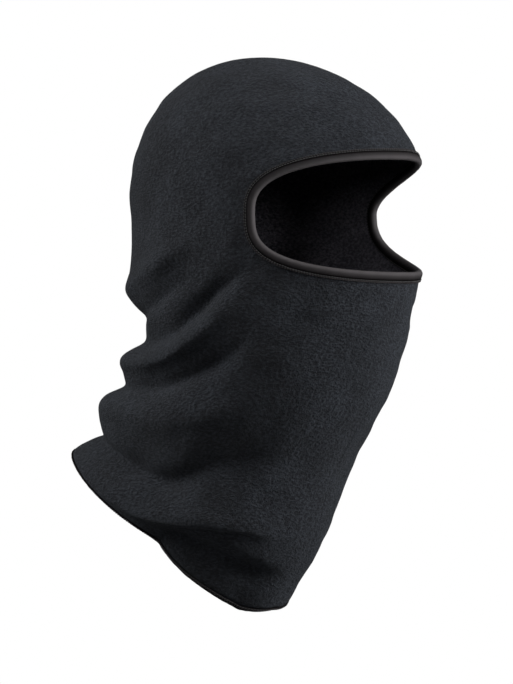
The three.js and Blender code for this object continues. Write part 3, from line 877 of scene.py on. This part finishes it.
def thread_material():
    """Spun polyester thread: near black with fine streaks."""
    s = Shader("thread")
    twist = s.noise(s.place((1, 1, 3)), 5200, 2.0, 0.5)
    s.colour(s.spread(twist, 0.35, 0.65, 0, 1), *THREAD_COLOURS)
    s.roughness(twist, 0.3, 0.7, 0.42, 0.6)
    s.bump(twist, 0.00012, 0.6)
    return s.material


def label_material():
    """Blank woven satin label: close crossing yarns."""
    s = Shader("label")
    where = s.add("ShaderNodeSeparateXYZ")
    s.join(s.place(), where.inputs[0])
    warp = s.math("SINE", s.math("MULTIPLY", where.outputs["X"], 2 * math.pi / 0.0004))
    weft = s.math("SINE", s.math("MULTIPLY", where.outputs["Z"], 2 * math.pi / 0.0003))
    weave = s.math("MULTIPLY", warp, weft)
    soft = s.noise(s.place(), 220, 2.0, 0.5)
    shade = s.math("ADD", s.math("MULTIPLY", weave, 0.15), soft)
    s.colour(s.spread(shade, 0.3, 0.8, 0, 1), *LABEL_COLOURS)
    s.roughness(soft, 0.3, 0.7, 0.4, 0.55)
    s.bump(weave, 0.00005, 0.6)
    return s.material


def floor_material():
    """Matt grey, faintly mottled."""
    s = Shader("floor")
    s.colour(s.noise(s.place(), 3.0, 2.0, 0.5), *FLOOR_COLOURS)
    s.main.inputs["Roughness"].default_value = 0.9
    return s.material


# ---- studio ----
TARGET = Vector((0, 0.0037, -0.183))
VIEW_FROM = Vector((-0.819, -0.574, 0.0))
CAMERA = {"lens": 500, "distance": 6.18}
FLOOR = {"z": -0.95, "half": 8.0}
# Square lamps: place and size in metres, and power in watts.
LAMPS = {
    "key": ((-1.47, -0.62, 0.16), 0.35, 8.5),
    "left": ((-0.68, 1.08, 0.62), 0.7, 42),
    "right": ((0.40, -1.38, 0.14), 0.7, 61),
    "front": ((-0.75, -0.95, 0.85), 0.6, 11),
}
# The world's light grows from the first strength to the second as a ray's direction rises.
BACKDROP = {"rise": (-0.3, 1.0), "strength": (0.01, 0.15)}


def aim(obj, place, target):
    obj.location = place
    obj.rotation_mode = "QUATERNION"
    obj.rotation_quaternion = (Vector(target) - Vector(place)).to_track_quat("-Z", "Y")
    bpy.context.scene.collection.objects.link(obj)


def camera():
    data = bpy.data.cameras.new("camera")
    data.lens = CAMERA["lens"]
    data.sensor_width = 36
    data.clip_start = 0.05
    data.clip_end = 200
    obj = bpy.data.objects.new("camera", data)
    aim(obj, TARGET + VIEW_FROM.normalized() * CAMERA["distance"], TARGET)
    bpy.context.scene.camera = obj


def lamp(name, place, size, power):
    data = bpy.data.lights.new(name, "AREA")
    data.shape = "SQUARE"
    data.size = size
    data.energy = power
    aim(bpy.data.objects.new(name, data), Vector(place), TARGET)


def studio():
    camera()
    half = FLOOR["half"]
    corners = [(-half, -half), (half, -half), (half, half), (-half, half)]
    mesh = bpy.data.meshes.new("floor")
    mesh.from_pydata([(x, y, FLOOR["z"]) for x, y in corners], [], [(0, 1, 2, 3)])
    mesh.materials.append(floor_material())
    floor = bpy.data.objects.new("floor", mesh)
    bpy.context.scene.collection.objects.link(floor)
    for name, (place, size, power) in LAMPS.items():
        lamp(name, place, size, power)
    backdrop()
    bpy.context.scene.view_settings.view_transform = "Standard"


def backdrop():
    """A plain white backdrop round a studio that is bright overhead and dim toward the floor."""
    world = bpy.data.worlds.new("studio")
    world.use_nodes = True
    nodes, links = world.node_tree.nodes, world.node_tree.links
    nodes.clear()
    where = nodes.new("ShaderNodeTexCoord")
    parted = nodes.new("ShaderNodeSeparateXYZ")
    rise = nodes.new("ShaderNodeMapRange")
    for socket, number in zip(list(rise.inputs)[1:5], (*BACKDROP["rise"], *BACKDROP["strength"])):
        socket.default_value = number
    seen = nodes.new("ShaderNodeLightPath")
    room = nodes.new("ShaderNodeBackground")
    plain = nodes.new("ShaderNodeBackground")
    mixed = nodes.new("ShaderNodeMixShader")
    plain.inputs["Color"].default_value = (1, 1, 1, 1)
    out = nodes.new("ShaderNodeOutputWorld")
    links.new(where.outputs["Generated"], parted.inputs[0])
    links.new(parted.outputs["Z"], rise.inputs[0])
    links.new(rise.outputs[0], room.inputs["Strength"])
    links.new(seen.outputs["Is Camera Ray"], mixed.inputs[0])
    links.new(room.outputs[0], mixed.inputs[1])
    links.new(plain.outputs[0], mixed.inputs[2])
    links.new(mixed.outputs[0], out.inputs[0])
    bpy.context.scene.world = world


def settle(obj, slot, *nodes):
    """The piece rides on the one body, and the CAD parts it replaces are hidden; slot is not used."""
    if nodes:
        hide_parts(*nodes)
    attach(obj, "root")
    return obj


def build():
    outside = fleece_material("fleece_outside", OUTSIDE)
    inside = fleece_material("fleece_inside", INSIDE)
    tape = tape_material()
    thread = thread_material()
    for name, side in (("right_panel", -1), ("left_panel", 1)):
        settle(panel(name + "_fleece", side, outside, inside), "fleece", name)
    for name, turn in (("crown_seam", 1), ("chin_seam", 0)):
        settle(seam(name + "_edges", turn, inside), "fleece", name)
        settle(overlock(name + "_overlock", turn, thread), "thread")
    for name, from_hem, join in (("face", False, 0.0), ("hem", True, 1.0)):
        tied = settle(binding(name + "_binding_tape", from_hem, join, tape), "binding", name + "_binding")
        stitched = topstitching(name + "_lockstitches", from_hem, thread)
        stitched = settle(stitched, "thread", name + "_stitching")
        tacked = settle(bar_tack(name + "_zigzag_tack", join, from_hem, thread), "thread", name + "_bar_tack")
        turns = np.linspace(0, 2, 400, endpoint=False)
        loop = around(binding_point(turns, LOOP_AT, 0, from_hem))[-1] * MM
    blank = settle(label("blank_label", label_material()), "label", "care_label")


studio()
build()
bpy.context.view_layer.update()
